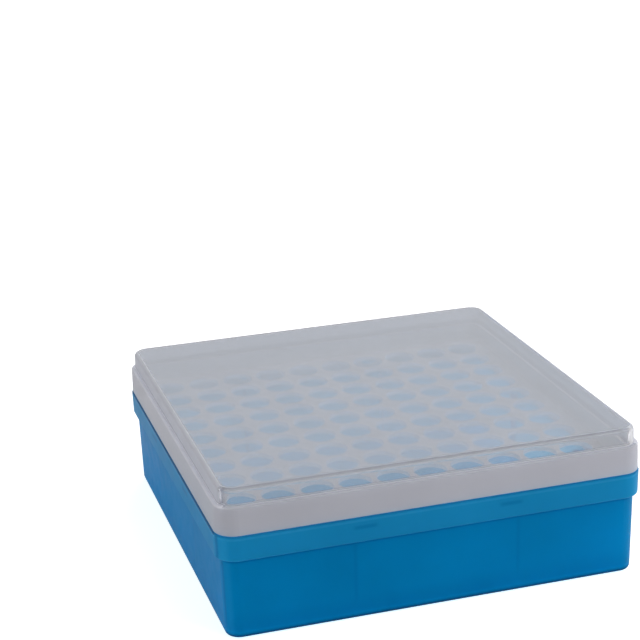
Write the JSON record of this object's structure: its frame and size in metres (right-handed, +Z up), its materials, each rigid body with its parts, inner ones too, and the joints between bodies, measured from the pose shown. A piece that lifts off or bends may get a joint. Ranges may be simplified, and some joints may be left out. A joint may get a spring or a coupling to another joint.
{
  "type": "tube storage box",
  "caption": "Square freezer storage box for small laboratory tubes: blue base, white rack of round wells that lifts out, and a frosted lift-off lid.",
  "frame": {"origin": "middle of the underside, on the surface that the box stands on", "axes": "+Z up through the lid, +X to the right along the wells' rows, +Y to the back"},
  "size_m": [0.1408, 0.1408, 0.0502],
  "materials": {
    "blue_polypropylene": "satin translucent",
    "white_polypropylene": "matte",
    "frosted_polypropylene": "frosted translucent"
  },
  "bodies": {
    "base": {"base": "blue_polypropylene"},
    "rack": {"tube_rack": "white_polypropylene"},
    "lid": {"lid": "frosted_polypropylene"}
  },
  "joints": [
    {"name": "rack_lift", "type": "slide", "parent": "base", "child": "rack", "axis": [0, 0, 1], "range_m": [0, 0.06]},
    {"name": "lid_lift", "type": "slide", "parent": "rack", "child": "lid", "axis": [0, 0, 1], "range_m": [0, 0.08]}
  ]
}
